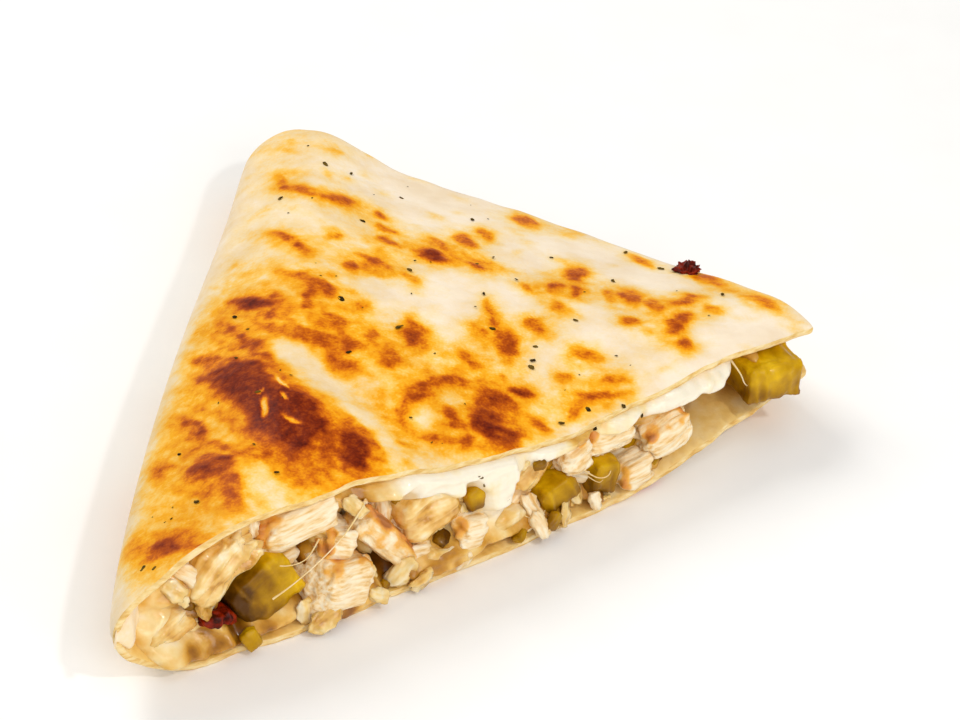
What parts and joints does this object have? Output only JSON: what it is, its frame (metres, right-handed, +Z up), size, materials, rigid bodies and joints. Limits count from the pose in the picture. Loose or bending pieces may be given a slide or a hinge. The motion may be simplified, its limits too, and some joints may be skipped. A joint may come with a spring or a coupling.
{
  "type": "quesadilla",
  "caption": "Wedge of a folded and grilled flour tortilla, filled with melted cheese, chicken, green pepper and onion that show at the cut.",
  "frame": {"origin": "middle of the bounding box's base, on the table", "axes": "+Z up; +Y runs away from the viewer, the long way of the wedge; the folded edge is on the -X side, the cut faces +X and -Y, and the apex where they meet is at -X -Y"},
  "size_m": [0.1262, 0.1496, 0.0268],
  "materials": {
    "tortilla": "toasted flour dough",
    "cheese": "melted white cheese",
    "chicken": "grilled chicken",
    "pepper": "softened green pepper",
    "onion": "softened onion",
    "chilli": "dried red chilli"
  },
  "bodies": {
    "root": {"chicken_1": "chicken", "chicken_10": "chicken", "chicken_2": "chicken", "chicken_3": "chicken", "chicken_4": "chicken", "chicken_5": "chicken", "chicken_6": "chicken", "chicken_7": "chicken", "chicken_8": "chicken", "chicken_9": "chicken", "chilli": "chilli", "melted_cheese": "cheese", "onion_1": "onion", "onion_2": "onion", "onion_3": "onion", "onion_4": "onion", "onion_5": "onion", "onion_6": "onion", "onion_7": "onion", "onion_8": "onion", "pepper_1": "pepper", "pepper_2": "pepper", "pepper_3": "pepper", "pepper_4": "pepper", "pepper_5": "pepper", "pepper_6": "pepper", "pepper_7": "pepper", "tortilla": "tortilla"}
  },
  "joints": []
}
